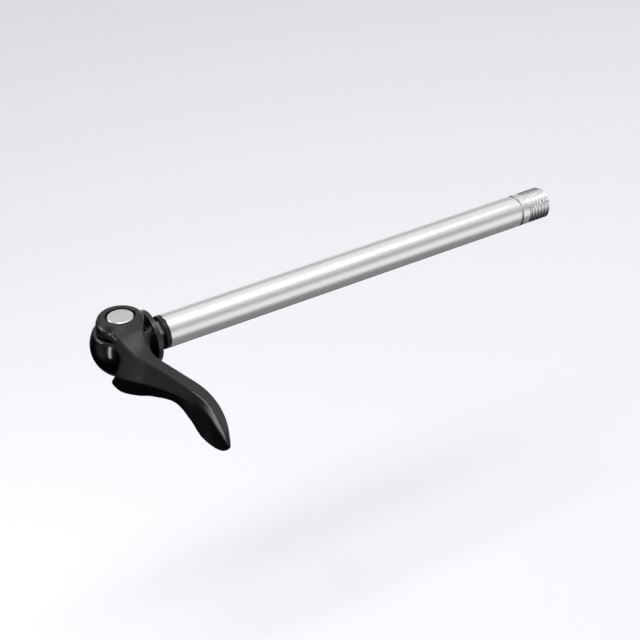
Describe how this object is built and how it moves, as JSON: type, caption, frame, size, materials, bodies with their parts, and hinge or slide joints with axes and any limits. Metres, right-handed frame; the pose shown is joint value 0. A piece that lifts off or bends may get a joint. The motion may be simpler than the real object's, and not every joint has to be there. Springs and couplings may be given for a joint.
{
  "type": "bicycle thru axle",
  "caption": "Hollow threaded axle for a bicycle rear wheel, clamped by a curved lever whose hidden cam pulls a cupped head towards the frame.",
  "frame": {"origin": "on the axle's axis, where the black end ring meets the bare tube", "axes": "+X along the axle towards its thread, +Z along the cam shaft towards its visible end, so that the closed lever's arm points along -Y"},
  "size_m": [0.192, 0.0781, 0.0231],
  "materials": {
    "tube_metal": "satin",
    "black_metal": "satin",
    "lever_paint": "gloss",
    "shaft_steel": "satin",
    "bush_plastic": "matte"
  },
  "bodies": {
    "axle": {"axle_tube": "tube_metal", "end_ring": "black_metal", "index_collar": "black_metal", "tie_rod": "shaft_steel"},
    "head": {"pressure_cup": "black_metal", "housing": "lever_paint", "upper_bush": "bush_plastic", "lower_bush": "bush_plastic", "thrust_washer": "bush_plastic"},
    "lever": {"lever": "lever_paint", "cam_shaft": "shaft_steel", "bottom_washer": "shaft_steel", "retaining_clip": "shaft_steel"}
  },
  "joints": [
    {"name": "head_slide", "type": "slide", "parent": "axle", "child": "head", "axis": [-1, 0, 0], "range_m": [0, 0.0015]},
    {"name": "lever_turn", "type": "hinge", "parent": "head", "child": "lever", "pos_m": [-0.01556, 0, 0], "axis": [0, 0, -1], "range_deg": [0, 170]}
  ],
  "couplings": [
    {"joint": "head_slide", "follows": "lever_turn", "m_per_rad": 0.00047746}
  ]
}
